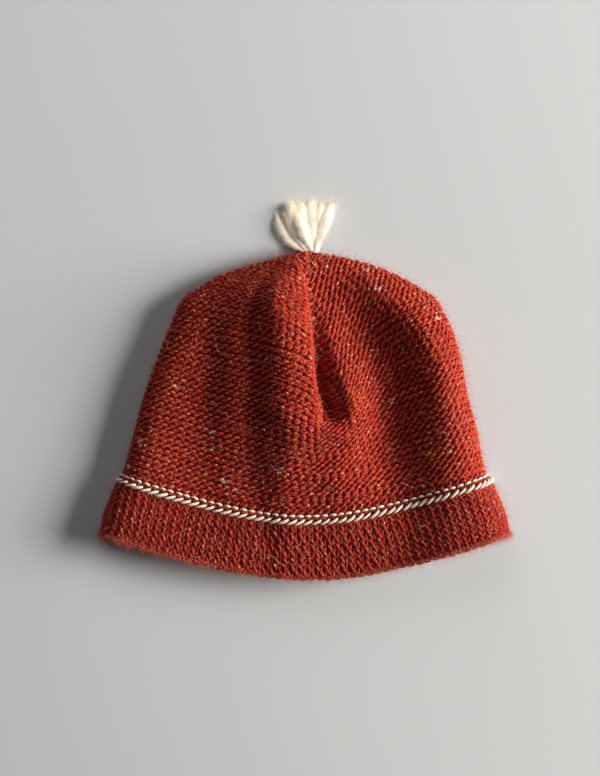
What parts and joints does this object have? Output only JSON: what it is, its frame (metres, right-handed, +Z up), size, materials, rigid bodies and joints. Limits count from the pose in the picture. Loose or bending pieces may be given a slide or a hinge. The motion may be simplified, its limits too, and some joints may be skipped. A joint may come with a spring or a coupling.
{
  "type": "knitted baby hat",
  "caption": "Rust-red knitted baby hat lying flat, with a plain brim, a thin cream braid and a cream yarn tassel at the top.",
  "frame": {"origin": "under the middle of the lying hat, at the height of the surface it lies on", "axes": "+X to the hat's right as it lies in the picture, +Y from the head opening to the tassel, +Z up from the surface"},
  "size_m": [0.2016, 0.1853, 0.0298],
  "materials": {
    "rust_knit": "heathered rust-red wool knit, matte, fuzzy",
    "cream_yarn": "cream wool yarn, matte"
  },
  "bodies": {
    "root": {"crown": "rust_knit", "brim": "rust_knit", "braid": "cream_yarn", "tassel": "cream_yarn"}
  },
  "joints": []
}
